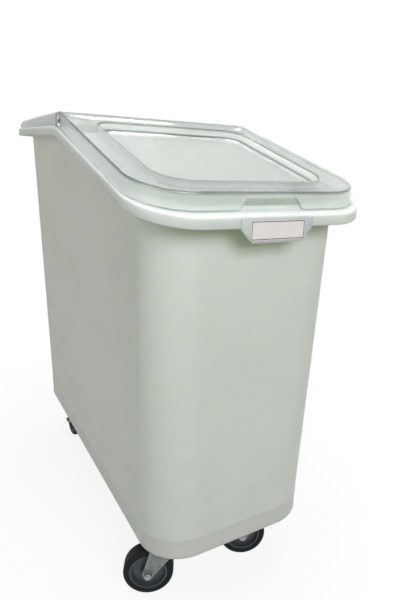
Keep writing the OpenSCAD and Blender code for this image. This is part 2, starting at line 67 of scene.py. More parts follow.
RIM_REAR = 27.0
RIM_FRONT_R = 78.0
RIM_REAR_R = 41.0
RIM_FALL = 99.5
RIM_BEND_Y = 16.0
RIM_BEND = 30.0
WALL = 4.0
TUB_FRONT_R = 63.5
TUB_REAR_R = 34.0
SIDE_LEAN, FRONT_LEAN, REAR_LEAN = np.tan(np.radians([1.67, 2.5, 2.76]))
FOOT_H = 30.0
FOOT_R = 4.0
FOOT_STEP = 0.7
FLOOR_R = 8.0
FLOOR_T = 12.0
FOOT_TOP = GROUND + FOOT_H
POCKET_DEEP = 7.0
POCKET_HALF_W = 99.0
POCKET_FRONT = -206.0
POCKET_REAR = 224.0
POCKET_R = 18.0


def rim_z(y):
    """Height of the rim's lower edge: level behind the bend, a parabola over it, then a straight fall."""
    slope = RIM_FALL / (RIM_BEND_Y + HALF_L)
    ahead = RIM_BEND_Y - y
    bend = slope * (np.clip(ahead, -RIM_BEND, RIM_BEND) + RIM_BEND) ** 2 / (4 * RIM_BEND)
    return RIM_LOW - bend - slope * np.maximum(ahead - RIM_BEND, 0)


def ring_places():
    """Where each point of an outline sits: its side, its end, its arc angle and its share of a straight.

    An outline runs anticlockwise from the left end of the front left corner. Each corner is a quarter
    turn, and the front, the two sides and the rear between the corners are straight. The points of a
    side lie close together at its middle, where the rim bends.
    """
    turn = np.linspace(0, np.pi / 2, CORNER_STEPS + 1)
    flat = np.zeros_like(turn)
    front = np.linspace(0, 1, FRONT_STEPS + 2)[1:-1]
    bend = np.linspace(0.445, 0.555, 13)
    side = np.concatenate([np.linspace(0.03, 0.43, 8), bend, np.linspace(0.57, 0.97, 8)])
    rows = [
        (-1, -1, np.pi + turn, flat),
        (0, -1, 0 * front, front),
        (1, -1, 1.5 * np.pi + turn, flat),
        (1, 0, 0 * side, side),
        (1, 1, turn, flat),
        (0, 1, 0 * front, front),
        (-1, 1, np.pi / 2 + turn, flat),
        (-1, 0, 0 * side, side[::-1])]
    across = np.concatenate([np.full(len(a), s, float) for s, e, a, t in rows])
    end = np.concatenate([np.full(len(a), e, float) for s, e, a, t in rows])
    angle = np.concatenate([a for s, e, a, t in rows])
    share = np.concatenate([t for s, e, a, t in rows])
    return across, end, angle, share


def outline(half_w, front, rear, front_r, rear_r):
    """A rounded rectangle as x and y arrays; sizes may be one number or one for each point.

    A corner point is its arc's centre plus the radius along the arc's angle. A front or rear point is a
    share of the way between two arcs. A side point is a share of the way from the front arc to the rear.
    """
    across, end, angle, share = ring_places()
    radius = np.where(end < 0, front_r, rear_r)
    centre_x = half_w - radius
    centre_y = np.where(end < 0, front + front_r, rear - rear_r)
    x = across * centre_x + radius * np.cos(angle)
    y = centre_y + radius * np.sin(angle)
    straight = across == 0
    way = (2 * share - 1) * -end
    x = np.where(straight, way * centre_x, x)
    y = np.where(straight, np.where(end < 0, front, rear), y)
    beside = end == 0
    x = np.where(beside, across * half_w, x)
    y = np.where(beside, front + front_r + share * (rear - rear_r - front - front_r), y)
    return x, y


def tub_wall(z, inset):
    """The tub's outline at a height: the rim's size less its overhang, the walls' lean and an inset."""
    down = RIM_LOW - z
    return outline(HALF_W - RIM_SIDE - down * SIDE_LEAN - inset,
                   -HALF_L + RIM_FRONT + down * FRONT_LEAN + inset,
                   HALF_L - RIM_REAR - down * REAR_LEAN - inset, TUB_FRONT_R - inset, TUB_REAR_R - inset)


def level_ring(z, inset):
    """A level ring on the tub's wall."""
    x, y = tub_wall(z, inset)
    return np.column_stack([x, y, np.full_like(x, z)])


def foot_ring(z, inset):
    """A level ring on the upright foot."""
    x, y = tub_wall(FOOT_TOP, inset)
    return np.column_stack([x, y, np.full_like(x, z)])


def bent_ring(over, inset):
    """A ring on the tub's wall that follows the rim, at a height over its lower edge."""
    z = rim_z(tub_wall(RIM_LOW, inset)[1]) + over
    x, y = tub_wall(z, inset)
    return np.column_stack([x, y, z])


def rim_ring(over, inset):
    """A ring on the rim, drawn in from its outer face."""
    x, y = outline(HALF_W - inset, -HALF_L + inset, HALF_L - inset,
                   RIM_FRONT_R - inset, RIM_REAR_R - inset)
    return np.column_stack([x, y, rim_z(y) + over])


def rounding(radius, steps, over, inset):
    """A quarter round from a face to its top edge: pairs of height and inset."""
    turn = np.linspace(0, np.pi / 2, steps + 1)
    return [(over - radius + radius * math.sin(t), inset + radius - radius * math.cos(t)) for t in turn]


def pocket_ring(z):
    """The pocket in the underside: a rounded rectangle between the caster pads."""
    x, y = outline(POCKET_HALF_W, POCKET_FRONT, POCKET_REAR, POCKET_R, POCKET_R)
    return np.column_stack([x, y, np.full_like(x, z)])


def loft_faces(rings, points):
    """Quads between neighbouring rings of a stack, each ring closed on itself."""
    k, i = np.meshgrid(np.arange(rings - 1), np.arange(points), indexing="ij")
    a = (k * points + i).ravel()
    b = (k * points + (i + 1) % points).ravel()
    return np.column_stack([a, b, b + points, a + points])


def mesh_piece(name, vertices, faces, body, smooth_deg=40.0):
    """A mesh object from points in millimetres and faces, smooth up to an angle, riding on a body."""
    mesh = bpy.data.meshes.new(name)
    mesh.from_pydata((np.asarray(vertices) * MM).tolist(), [], [list(map(int, f)) for f in faces])
    mesh.polygons.foreach_set("use_smooth", np.ones(len(mesh.polygons), bool))
    mesh.set_sharp_from_angle(angle=math.radians(smooth_deg))
    mesh.update()
    piece = bpy.data.objects.new(name, mesh)
    bpy.context.scene.collection.objects.link(piece)
    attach(piece, body)
    return piece


def fan(start, points, centre, flip):
    """Triangles from a ring's points to its centre."""
    i = np.arange(points)
    tris = np.column_stack([start + i, start + (i + 1) % points, np.full(points, centre)])
    return tris[:, ::-1] if flip else tris


def lofted(name, rings, body, smooth_deg=40.0):
    """A closed skin through a stack of rings, capped by a fan at both ends."""
    points = len(rings[0])
    vertices = np.concatenate(rings + [rings[0].mean(0)[None], rings[-1].mean(0)[None]])
    last = points * (len(rings) - 1)
    ends = points * len(rings)
    quads = loft_faces(len(rings), points).tolist()
    caps = fan(0, points, ends, True).tolist() + fan(last, points, ends + 1, False).tolist()
    return mesh_piece(name, vertices, quads + caps, body, smooth_deg)


def srgb(code):
    """A hex colour as linear red, green, blue and alpha."""
    c = np.array([int(code[i:i + 2], 16) for i in (1, 3, 5)]) / 255
    linear = np.where(c <= 0.04045, c / 12.92, ((c + 0.055) / 1.055) ** 2.4)
    return (*linear.tolist(), 1.0)


def node(tree, kind, links=None, **settings):
    """Adds a shader node, sets its properties and input values, and links its inputs."""
    made = tree.nodes.new(kind)
    for key, value in settings.items():
        if key in made.bl_rna.properties:
            setattr(made, key, value)
        else:
            made.inputs[key.replace("_", " ")].default_value = value
    for socket, source in (links or {}).items():
        tree.links.new(source, made.inputs[socket])
    return made


def ramp(tree, factor, stops):
    """A colour ramp with the given places and hex colours."""
    made = node(tree, "ShaderNodeValToRGB", {"Fac": factor})
    while len(made.color_ramp.elements) < len(stops):
        made.color_ramp.elements.new(1.0)
    for element, (place, code) in zip(made.color_ramp.elements, stops):
        element.position = place
        element.color = srgb(code)
    return made.outputs["Color"]


def new_material(name):
    """An empty node material with its tree, its principled shader and object coordinates."""
    made = bpy.data.materials.new(name)
    made.use_nodes = True
    tree = made.node_tree
    shader = tree.nodes["Principled BSDF"]
    place = tree.nodes.new("ShaderNodeTexCoord").outputs["Object"]
    return made, tree, shader, place


def per(size):
    """The scale of a pattern whose features are a size in millimetres apart."""
    return 1 / (size * MM)


def polypropylene():
    """Moulded polypropylene: a soft satin skin, faintly cloudy from the melt, with a fine mould texture.

    The wall is thin and lets some light through to the inside. Below the top of the foot the colour is
    painted greyer, as painted shade for the light that the foot, backed by the floor, lets through less. The
    texture's real grain is about 0.2 mm, which is too fine to show, so it is drawn at 1.1 mm.
    """
    made, tree, shader, place = new_material("moulded_polypropylene")
    cloud = node(tree, "ShaderNodeTexNoise", {"Vector": place}, Scale=per(165), Detail=3.0, Roughness=0.5)
    colour = ramp(tree, cloud.outputs["Fac"], [(0.3, "#DAE3DA"), (0.7, "#E0E9E0")])
    height = node(tree, "ShaderNodeSeparateXYZ", {"Vector": place}).outputs["Z"]
    # Painted shade: below the top of the foot the colour is mixed towards the greyer #DCE1DC.
    solid = node(tree, "ShaderNodeMapRange", {"Value": height},
                 From_Min=FOOT_TOP * MM, From_Max=(FOOT_TOP - 3) * MM)
    foot_painted_shade = node(tree, "ShaderNodeMix", {0: solid.outputs["Result"], 6: colour}, data_type="RGBA")
    foot_painted_shade.inputs[7].default_value = srgb("#DCE1DC")
    tree.links.new(foot_painted_shade.outputs[2], shader.inputs["Base Color"])
    scuff = node(tree, "ShaderNodeTexNoise", {"Vector": place}, Scale=per(70), Detail=4.0, Roughness=0.6)
    rough = node(tree, "ShaderNodeMapRange", {"Value": scuff.outputs["Fac"]}, To_Min=0.34, To_Max=0.46)
    tree.links.new(rough.outputs["Result"], shader.inputs["Roughness"])
    grain = node(tree, "ShaderNodeTexNoise", {"Vector": place}, Scale=per(1.1), Detail=2.0)
    bump = node(tree, "ShaderNodeBump", {"Height": grain.outputs["Fac"]}, Strength=0.06, Distance=0.0004)
    tree.links.new(bump.outputs["Normal"], shader.inputs["Normal"])
    shader.inputs["IOR"].default_value = 1.49
    shader.inputs["Subsurface Weight"].default_value = 0.8
    shader.inputs["Subsurface Scale"].default_value = 0.015
    shader.inputs["Subsurface Radius"].default_value = (1.0, 1.0, 0.7)
    return made


floor_z = GROUND + FLOOR_T
foot_edge = rounding(FOOT_R, 5, FOOT_R, 0)[::-1]
floor_edge = rounding(FLOOR_R, 5, FLOOR_R, WALL)
tub_rings = [pocket_ring(GROUND + POCKET_DEEP), pocket_ring(GROUND)]
tub_rings += [foot_ring(GROUND + FOOT_R - over, inset) for over, inset in foot_edge]
tub_rings += [foot_ring(FOOT_TOP - 2, 0), level_ring(FOOT_TOP - 0.4, -FOOT_STEP)]
tub_rings += [level_ring(FOOT_TOP + 3, -FOOT_STEP), level_ring(FOOT_TOP + 14, 0)]
tub_rings += [bent_ring(RIM_H - RIM_T - 3, 0), bent_ring(RIM_H - RIM_T, -2.5)]
tub_rings += [rim_ring(RIM_H - RIM_T, RIM_T), rim_ring(0, RIM_T), rim_ring(0, 1), rim_ring(1, 0)]
tub_rings += [rim_ring(over, inset) for over, inset in rounding(RIM_ROUND, 5, RIM_H, 0)]
tub_rings += [bent_ring(RIM_H, WALL - 2), bent_ring(RIM_H - 0.6, WALL - 0.6), bent_ring(RIM_H - 2, WALL)]
tub_rings += [foot_ring(FOOT_TOP, WALL)]
tub_rings += [foot_ring(floor_z + FLOOR_R - over, inset) for over, inset in floor_edge]
tub = lofted("tub_moulding", tub_rings, "bin")
tub.data.materials.append(polypropylene())
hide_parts("tub")

# The label tab: a flat plate moulded in one with the front of the rim, in the same polypropylene.
# It is wider at the top, has rounded lower corners, and stands a little proud of the rim's face.
TAB_W = 105.0
TAB_LOW_W = 72.0
TAB_DROP = 18.0
TAB_R = 8.0
TAB_PROUD = 0.8
TAB_EDGE = 0.7
rim_front_z = float(rim_z(-HALF_L + TAB_PROUD))


def tab_outline(inset):
    """The tab seen from the front: straight sides that lean in to two round lower corners."""
    lean = math.atan2((TAB_W - TAB_LOW_W) / 2, TAB_DROP)
    turn = np.linspace(-np.pi / 2, -lean, 10)
    centre_x = TAB_LOW_W / 2 - TAB_R * math.tan((np.pi / 2 - lean) / 2)
    low = rim_front_z - TAB_DROP
    x = centre_x + (TAB_R - inset) * np.cos(turn)
    z = low + TAB_R + (TAB_R - inset) * np.sin(turn)
    x = np.append(x, [TAB_W / 2 - inset, TAB_W / 2 - inset])
    z = np.append(z, [rim_front_z, rim_front_z + RIM_H - RIM_ROUND - inset])
    return np.concatenate([x, -x[::-1]]), np.concatenate([z, z[::-1]])


def tab_ring(y, inset):
    """A ring of the tab at a depth."""
    x, z = tab_outline(inset)
    return np.column_stack([x, np.full_like(x, y), z])


tab_front = TUB_LOW[1]
tab_rings = [tab_ring(tab_front + 4, 0), tab_ring(tab_front + TAB_EDGE, 0)]
tab_rings += [tab_ring(tab_front + TAB_EDGE * 0.3, TAB_EDGE * 0.3), tab_ring(tab_front, TAB_EDGE)]
tab = lofted("label_tab", tab_rings, "bin", 25.0)
tab.data.materials.append(bpy.data.materials["moulded_polypropylene"])

# The label: a laminated card with a thin dark border line.
# It is glued flat to the tab.
LABEL_LINE_IN = 1.5
LABEL_LINE_HALF = 0.5
LABEL_R = 1.5
LABEL_EDGE = 0.15
LABEL_LOW, LABEL_HIGH = (np.array(corner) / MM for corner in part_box("label_plate"))


def label_card():
    """Laminated card: glossy, off-white with a faint warm tint, and a dark line just inside its edge."""
    made, tree, shader, place = new_material("laminated_card")
    middle = (LABEL_LOW + LABEL_HIGH) / 2 * MM
    half = (LABEL_HIGH - LABEL_LOW) / 2 * MM
    centred = node(tree, "ShaderNodeMapping", {"Vector": place}, Location=tuple(-middle))
    parts = node(tree, "ShaderNodeSeparateXYZ", {"Vector": centred.outputs["Vector"]})
    edge = []
    for axis, size in (("X", half[0]), ("Z", half[2])):
        away = node(tree, "ShaderNodeMath", {0: parts.outputs[axis]}, operation="ABSOLUTE")
        inside = node(tree, "ShaderNodeMath", {1: away.outputs[0]}, operation="SUBTRACT")
        inside.inputs[0].default_value = size
        edge.append(inside.outputs[0])
    nearest = node(tree, "ShaderNodeMath", {0: edge[0], 1: edge[1]}, operation="MINIMUM").outputs[0]
    line = node(tree, "ShaderNodeMath", {0: nearest}, operation="COMPARE")
    line.inputs[1].default_value = LABEL_LINE_IN * MM
    line.inputs[2].default_value = LABEL_LINE_HALF * MM
    paper = node(tree, "ShaderNodeTexNoise", {"Vector": place}, Scale=per(17), Detail=3.0)
    card = ramp(tree, paper.outputs["Fac"], [(0.3, "#F0ECE8"), (0.7, "#F6F2EE")])
    mixed = node(tree, "ShaderNodeMix", {0: line.outputs[0], 6: card}, data_type="RGBA")
    mixed.inputs[7].default_value = srgb("#4A423E")
    tree.links.new(mixed.outputs[2], shader.inputs["Base Color"])
    shader.inputs["Roughness"].default_value = 0.28
    return made


def label_ring(y, inset, radius):
    """A ring of the label: a rounded rectangle seen from the front."""
    turn = np.linspace(0, np.pi / 2, 7)
    hx, hz = (LABEL_HIGH - LABEL_LOW)[[0, 2]] / 2 - inset
    mx, mz = (LABEL_HIGH + LABEL_LOW)[[0, 2]] / 2
    sx, sz = np.repeat([1, -1, -1, 1], 7), np.repeat([1, 1, -1, -1], 7)
    angle = np.concatenate([turn + quarter * np.pi / 2 for quarter in range(4)])
    x = mx + sx * (hx - radius) + radius * np.cos(angle)
    z = mz + sz * (hz - radius) + radius * np.sin(angle)
    return np.column_stack([x, np.full_like(x, y), z])[::-1]


label_rings = [label_ring(LABEL_LOW[1], LABEL_EDGE, LABEL_R - 0.1)]
label_rings += [label_ring(LABEL_LOW[1] + 0.12, 0, LABEL_R), label_ring(LABEL_HIGH[1], 0, LABEL_R)]
label = lofted("label_card", label_rings, "bin", 25.0)
label.data.materials.append(label_card())
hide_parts("label_plate")

# The rear lid: a clear polycarbonate cover, vacuum formed, almost level on top.
# Its skirt snaps over the level half of the rim, and it carries the hinge lugs of the front lid.
LID_T = 3.0
LID_SIDE_IN = 4.0
LID_REAR_IN = 6.0
LID_GAP = 0.4
LID_ROUND = 2.5
REAR_ROUND = 14.0
REAR_FALL = 4.0
SKIRT_FLARE = 1.0
SKIRT_FOLD = 0.1
TOP_FOLD = 0.03
LID_REAR_R = 36.0
SQUARE_R = 0.6
HINGE_R = 12.0
HINGE = np.array(next(j for j in frame["joints"] if j["name"] == "lid_hinge")["pos_m"]) / MM
NOSE_GAP = 1.0
PAINTED_FOLD_SHADE = 0.95
MILKY = 0.4
lid_half_w = HALF_W - LID_SIDE_IN
rear_lid_front = HINGE[1] + HINGE_R + NOSE_GAP
rear_lid_end = HALF_L - LID_REAR_IN


def polycarbonate():
    """Clear polycarbonate sheet: glassy, a little grey, with a faint haze from wiping.

    The bend attribute is 1 along a fold, where the sheet is seen edge on: there the colour is painted dark
    and the sheet made more opaque, as painted shade. It is -1 on a drawn wall, where the sheet was stretched
    in the mould and is milky and slightly frosted; there the colour is painted pale, partly for that
    milkiness and partly as painted light for the bright rim and reflections seen through it.
    """
    made, tree, shader, place = new_material("clear_polycarbonate")
    haze = node(tree, "ShaderNodeTexNoise", {"Vector": place}, Scale=per(110), Detail=4.0, Roughness=0.6)
    colour = ramp(tree, haze.outputs["Fac"], [(0.3, "#969F9D"), (0.7, "#A0A9A7")])
    bend = node(tree, "ShaderNodeAttribute", attribute_name="bend").outputs["Fac"]
    # Painted shade: along a fold the colour is mixed towards dark #2E3836, and the alpha rises below.
    painted_fold_shade = node(tree, "ShaderNodeMapRange", {"Value": bend}, To_Min=0.0, To_Max=PAINTED_FOLD_SHADE)
    stretch = node(tree, "ShaderNodeMapRange", {"Value": bend}, From_Min=0.0, From_Max=-1.0)
    drawn = stretch.outputs["Result"]
    # Partly painted light: on a drawn wall the colour is mixed towards pale #F2F8F3, for the milky sheet and for
    # the bright rim and reflections seen through it.
    milky_and_painted_light = node(tree, "ShaderNodeMix", {0: drawn, 6: colour}, data_type="RGBA")
    milky_and_painted_light.inputs[7].default_value = srgb("#F2F8F3")
    fold_shaded = node(tree, "ShaderNodeMix", {0: painted_fold_shade.outputs["Result"], 6: milky_and_painted_light.outputs[2]}, data_type="RGBA")
    fold_shaded.inputs[7].default_value = srgb("#2E3836")
    tree.links.new(fold_shaded.outputs[2], shader.inputs["Base Color"])
    wiped = node(tree, "ShaderNodeMapRange", {"Value": haze.outputs["Fac"]}, To_Min=0.02, To_Max=0.05)
    frost = node(tree, "ShaderNodeMath", {0: drawn, 2: wiped.outputs["Result"]}, operation="MULTIPLY_ADD")
    frost.inputs[1].default_value = 0.3
    tree.links.new(frost.outputs[0], shader.inputs["Roughness"])
    shader.inputs["IOR"].default_value = 1.58
    clear = node(tree, "ShaderNodeMapRange", {"Value": drawn}, To_Min=1.0, To_Max=MILKY)
    tree.links.new(clear.outputs["Result"], shader.inputs["Transmission Weight"])
    body = node(tree, "ShaderNodeMapRange", {"Value": bend}, To_Min=0.5, To_Max=0.85)
    tree.links.new(body.outputs["Result"], shader.inputs["Alpha"])
    return made


def rear_share(y):
    """The share of the way from the hinge to the back of the rear lid."""
    return (y - rear_lid_front) / (rear_lid_end - rear_lid_front)


def rear_edge(angle):
    """A ring of the rear lid's top edge, at an angle from the skirt to the top.

    The rounding's radius grows with the square of the share of the way to the back, and the top falls
    evenly.
    """
    plain = outline(lid_half_w, rear_lid_front, rear_lid_end, SQUARE_R, LID_REAR_R)
    radius = LID_ROUND + (REAR_ROUND - LID_ROUND) * rear_share(plain[1]) ** 2
    inset = radius * (1 - math.cos(angle))
    x, y = outline(lid_half_w - inset, rear_lid_front, rear_lid_end - inset,
                   SQUARE_R, LID_REAR_R - inset)
    return np.column_stack([x, y, TOP - REAR_FALL * rear_share(y) - radius * (1 - math.sin(angle))])


def rear_skirt():
    """The ring at the foot of the rear lid's skirt, which flares out and follows the rim."""
    x, y = outline(lid_half_w + SKIRT_FLARE, rear_lid_front, rear_lid_end + SKIRT_FLARE,
                   SQUARE_R, LID_REAR_R)
    return np.column_stack([x, y, rim_z(y) + RIM_H + LID_GAP])


def open_skin(name, rings, painted_shading, skirt_rings, open_end, body):
    """A skin through rings whose first few rings leave one end open, capped by a fan on the last ring.

    The open end is the front or the rear of the outline, given as -1 or 1. Quads there are left out on the
    skirt, and points that no face uses are dropped. Each ring's bend value, which sets the painted fold shade
    and the pale, partly painted light of the drawn walls, goes to the points of that ring.
    """
    points = len(rings[0])
    end = ring_places()[1]
    quads = loft_faces(len(rings), points)
    here = np.tile(np.arange(points), len(rings) - 1)
    on_skirt = np.repeat(np.arange(len(rings) - 1), points) < skirt_rings
    beyond = (end[here] == open_end) & (end[(here + 1) % points] == open_end)
    quads = quads[~(on_skirt & beyond)]
    vertices = np.concatenate(rings + [rings[-1].mean(0)[None]])
    last = points * (len(rings) - 1)
    tris = fan(last, points, points * len(rings), False)
    used = np.unique(np.concatenate([quads.ravel(), tris.ravel()]))
    renumber = np.zeros(len(vertices), int)
    renumber[used] = np.arange(len(used))
    faces = renumber[quads].tolist() + renumber[tris].tolist()
    piece = mesh_piece(name, vertices[used], faces, body, 50.0)
    bend = piece.data.attributes.new("bend", "FLOAT", "POINT")
    bend.data.foreach_set("value", np.append(np.repeat(painted_shading, points), painted_shading[-1])[used].astype(np.float32))
    return piece


def thicken(piece, wall):
    """Gives an open skin its wall, inwards from the outer face."""
    solid = piece.modifiers.new("wall", "SOLIDIFY")
    solid.thickness = wall * MM
    solid.offset = -1.0
    solid.use_even_offset = True
    solid.use_quality_normals = True


rear_foot = rear_skirt()
rear_rings = [rear_foot, rear_foot * (1 - SKIRT_FOLD) + rear_edge(0) * SKIRT_FOLD]
rear_rings += [rear_edge(angle) for angle in np.linspace(0, np.pi / 2, 7)]
rear_rings += [rear_rings[-1] * (1 - TOP_FOLD) + rear_rings[-1].mean(0) * TOP_FOLD]
# Painted shade: these bend values paint the rear lid's skirt and rounded edge dark, fading to pale, partly painted
# light, at the middle of its top.
rear_painted_shading = [0.9, 0.8, 0.8, 0.9, 1, 1, 1, 0.7, 0.3, -0.5]
rear_lid = open_skin("rear_lid_cover", rear_rings, rear_painted_shading, len(rear_rings) - 2, -1, "bin")
thicken(rear_lid, LID_T)
lid_clear = polycarbonate()
rear_lid.data.materials.append(lid_clear)
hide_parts("rear_lid")

# The hinge lugs: two solid polycarbonate arms welded under the front corners of the rear lid.
# Each ends in a round eye that a hinge pin passes through.
LUG_T = 5.0
EAR_T = 5.0
EAR_GAP = 0.5
EAR_PROUD = 0.6
ARM_H = 6.0
BLOCK_L = 14.0
ear_x = lid_half_w + EAR_PROUD
lug_x = ear_x - EAR_T - EAR_GAP
lug_r = HINGE_R - LID_T - 1


def extruded(name, outline_y, outline_z, x0, x1, body):
    """A flat shape seen from the side, about the hinge, carried from one x to another and closed flat."""
    flat = np.column_stack([np.zeros(len(outline_y)), outline_y + HINGE[1], outline_z + HINGE[2]])
    points = np.arange(len(flat))
    sides = loft_faces(2, len(flat)).tolist()
    ends = [points[::-1].tolist(), (points + len(flat)).tolist()]
    return mesh_piece(name, np.concatenate([flat + [x1, 0, 0], flat + [x0, 0, 0]]), sides + ends, body)


def lug_outline():
    """A round eye with an arm that runs back under the lid."""
    turn = np.linspace(1.5 * np.pi, math.asin((ARM_H - lug_r) / lug_r), 40)
    reach = HINGE_R + NOSE_GAP + BLOCK_L
    y = np.concatenate([[reach], lug_r * np.cos(turn), [reach]])
    z = np.concatenate([[-lug_r], lug_r * np.sin(turn), [ARM_H - lug_r]])
    return y, z


for side, word in ((-1, "left"), (1, "right")):
    x0, x1 = sorted([side * (lug_x - LUG_T), side * lug_x])
    lug = extruded("hinge_lug_" + word, *lug_outline(), x0, x1, "bin")
    x0, x1 = sorted([side * (lug_x - LUG_T), side * (lid_half_w - LID_T + 0.5)])
    back = np.array([1, 0, 0, 1]) * BLOCK_L + HINGE_R + NOSE_GAP
    block = extruded("lug_block_" + word, back, np.array([-1, -1, 1, 1]) * lug_r, x0, x1, "bin")
    for piece in (lug, block):
        piece.data.materials.append(lid_clear)

# The front lid: a second clear polycarbonate cover on the slope, with a sunken panel that stiffens it.
# Its skirt has a finger notch at the front, and its rounded nose turns about the hinge pins.
LID_FRONT_IN = 16.0
LID_FRONT_R = 69.0
LID_FRONT_H = 22.5
PANEL_SIDE = 40.0
PANEL_FRONT = 42.0
PANEL_REAR = 50.0
PANEL_DEPTH = 12.0
PANEL_LEAN = 6.0
PANEL_FRONT_R = 45.0
PANEL_REAR_R = 28.0
NOTCH_W = 96.0
NOTCH_TOP_W = 70.0
NOTCH_H = 14.5
lid_front_y = -HALF_L + LID_FRONT_IN
lid_front_z = float(rim_z(np.array(lid_front_y))) + RIM_H + LID_FRONT_H
lid_reach = HINGE[1] - lid_front_y
lid_climb = HINGE[2] - lid_front_z
lid_tilt = math.atan2(lid_climb, lid_reach) + math.asin(HINGE_R / math.hypot(lid_reach, lid_climb))
lid_rear_y = HINGE[1] - HINGE_R * math.sin(lid_tilt)


def lid_z(y):
    """Height of the front lid's top plane, which meets the rounded nose."""
    return HINGE[2] + HINGE_R / math.cos(lid_tilt) + (y - HINGE[1]) * math.tan(lid_tilt)


def front_outline(inset):
    """The front lid's outline: round at the two front corners, square at the hinge."""
    return outline(lid_half_w - inset, lid_front_y + inset, lid_rear_y, LID_FRONT_R - inset, SQUARE_R)


def notch_rise(x):
    """How far the skirt's foot is cut up at the finger notch: a plateau with eased sides."""
    ease = np.clip((NOTCH_W / 2 - np.abs(x)) / ((NOTCH_W - NOTCH_TOP_W) / 2), 0, 1)
    return NOTCH_H * ease * ease * (3 - 2 * ease)


def front_skirt(inset, share):
    """A ring on the front lid's skirt, a share of the way from its foot on the rim to its top edge."""
    x, y = front_outline(inset)
    foot = rim_z(y) + RIM_H + LID_GAP + np.where(y < lid_front_y + 5, notch_rise(x), 0)
    return np.column_stack([x, y, foot + share * (lid_z(y) - LID_ROUND - foot)])


def front_top(inset, drop):
    """A ring at the front lid's top edge, below its plane by a drop."""
    x, y = front_outline(inset)
    return np.column_stack([x, y, lid_z(y) - drop])


def panel_ring(inset, drop):
    """A ring of the sunken panel, below the lid's plane by a drop."""
    x, y = outline(lid_half_w - PANEL_SIDE - inset,
                   lid_front_y + PANEL_FRONT * math.cos(lid_tilt) + inset,
                   HINGE[1] - PANEL_REAR * math.cos(lid_tilt) - inset,
                   PANEL_FRONT_R - inset, PANEL_REAR_R - inset)
    return np.column_stack([x, y, lid_z(y) - drop])


# The bend values paint the folds dark, as painted shade, and the skirt, the panel's walls and its floor pale,
# partly milky sheet and partly painted light.
lid_rings = [front_skirt(-SKIRT_FLARE * (1 - share), share) for share in (0, 0.08, 0.5, 0.92)]
lid_painted_shading = [0.9, -0.9, -0.9, -0.8]
lid_rings += [front_top(inset, -over) for over, inset in rounding(LID_ROUND, 5, 0, 0)]
lid_painted_shading += [0.3, 0.8, 1, 1, 0.8, 0.3]
lid_rings += [front_top(LID_ROUND + 2, 0)]
lid_skirt_rings = len(lid_rings) - 1
lid_rings += [panel_ring(-4, 0)]
lid_painted_shading += [0, 0]
lid_rings += [panel_ring(-1.4, 0), panel_ring(-0.5, 0.2), panel_ring(0, 0.9)]
lid_painted_shading += [0.6, 1, 0.8]
lid_rings += [panel_ring(1, 2.7), panel_ring(PANEL_LEAN - 1.3, PANEL_DEPTH - 2.9)]
lid_painted_shading += [-1, -1]
lid_rings += [panel_ring(PANEL_LEAN - 0.5, PANEL_DEPTH - 1.2), panel_ring(PANEL_LEAN, PANEL_DEPTH - 0.4)]
lid_painted_shading += [0.5, 1]
lid_rings += [panel_ring(PANEL_LEAN + 0.8, PANEL_DEPTH), panel_ring(PANEL_LEAN + 4, PANEL_DEPTH)]
lid_painted_shading += [0.5, -0.6]
front_lid = open_skin("front_lid_cover", lid_rings, lid_painted_shading, lid_skirt_rings, 1, "lid")
thicken(front_lid, LID_T)
front_lid.data.materials.append(lid_clear)
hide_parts("front_lid")


def nose_grid():
    """The lid's rounded rear edge: a quarter of a tube about the hinge, from the lid's plane down."""
    rows, columns = 25, 13
    turn = np.linspace(np.pi / 2 + lid_tilt, lid_tilt, columns)
    x = np.linspace(-1, 1, rows) * (lug_x - LUG_T - EAR_GAP)
    along, around = np.meshgrid(x, turn, indexing="ij")
    points = [along, HINGE[1] + HINGE_R * np.cos(around), HINGE[2] + HINGE_R * np.sin(around)]
    i, j = np.meshgrid(np.arange(rows - 1), np.arange(columns - 1), indexing="ij")
    a = (i * columns + j).ravel()
    faces = np.column_stack([a, a + columns, a + columns + 1, a + 1])
    return np.column_stack([p.ravel() for p in points]), faces


nose_points, nose_faces = nose_grid()
nose = mesh_piece("front_lid_nose", nose_points, nose_faces, "lid")
thicken(nose, LID_T)
nose.data.materials.append(lid_clear)


def lathe(name, profile, centre, axis, body, steps=72):
    """A turned piece: pairs of radius and place along an axis, carried round its centre and closed."""
    axis = np.array(axis, float) / np.linalg.norm(axis)
    side = np.cross(axis, [0.0, 0.0, 1.0] if abs(axis[2]) < 0.9 else [1.0, 0.0, 0.0])
    side = side / np.linalg.norm(side)
    turn = np.linspace(0, 2 * np.pi, steps, endpoint=False)
    out = np.cos(turn)[:, None] * side + np.sin(turn)[:, None] * np.cross(axis, side)
    radius, along = np.array(profile, float).T
    points = np.array(centre) + along[:, None, None] * axis + radius[:, None, None] * out[None]
    rows = len(profile)
    k, i = np.meshgrid(np.arange(rows), np.arange(steps), indexing="ij")
    a, b = (k * steps + i).ravel(), (k * steps + (i + 1) % steps).ravel()
    c, d = ((k + 1) % rows * steps + (i + 1) % steps).ravel(), ((k + 1) % rows * steps + i).ravel()
    return mesh_piece(name, points.reshape(-1, 3), np.column_stack([a, b, c, d]), body, 35.0)


EAR_BORE = 3.05
EAR_EDGE = 0.6
ear_r = HINGE_R - 0.1
for side, word in ((-1, "left"), (1, "right")):
    ear_profile = [(EAR_BORE, 0), (ear_r - EAR_EDGE, 0), (ear_r, EAR_EDGE)]
    ear_profile += [(ear_r, EAR_T - EAR_EDGE), (ear_r - EAR_EDGE, EAR_T), (EAR_BORE, EAR_T)]
    ear_place = (side * (ear_x - EAR_T), HINGE[1], HINGE[2])
    ear = lathe("lid_ear_" + word, ear_profile, ear_place, (side, 0, 0), "lid")
    ear.data.materials.append(lid_clear)

# The steel pieces: caster plates, forks and brackets pressed from sheet and zinc plated, and hinge pins,
# kingpins, balls, axles, sleeves, nuts and screws turned or cold formed and plated bright.


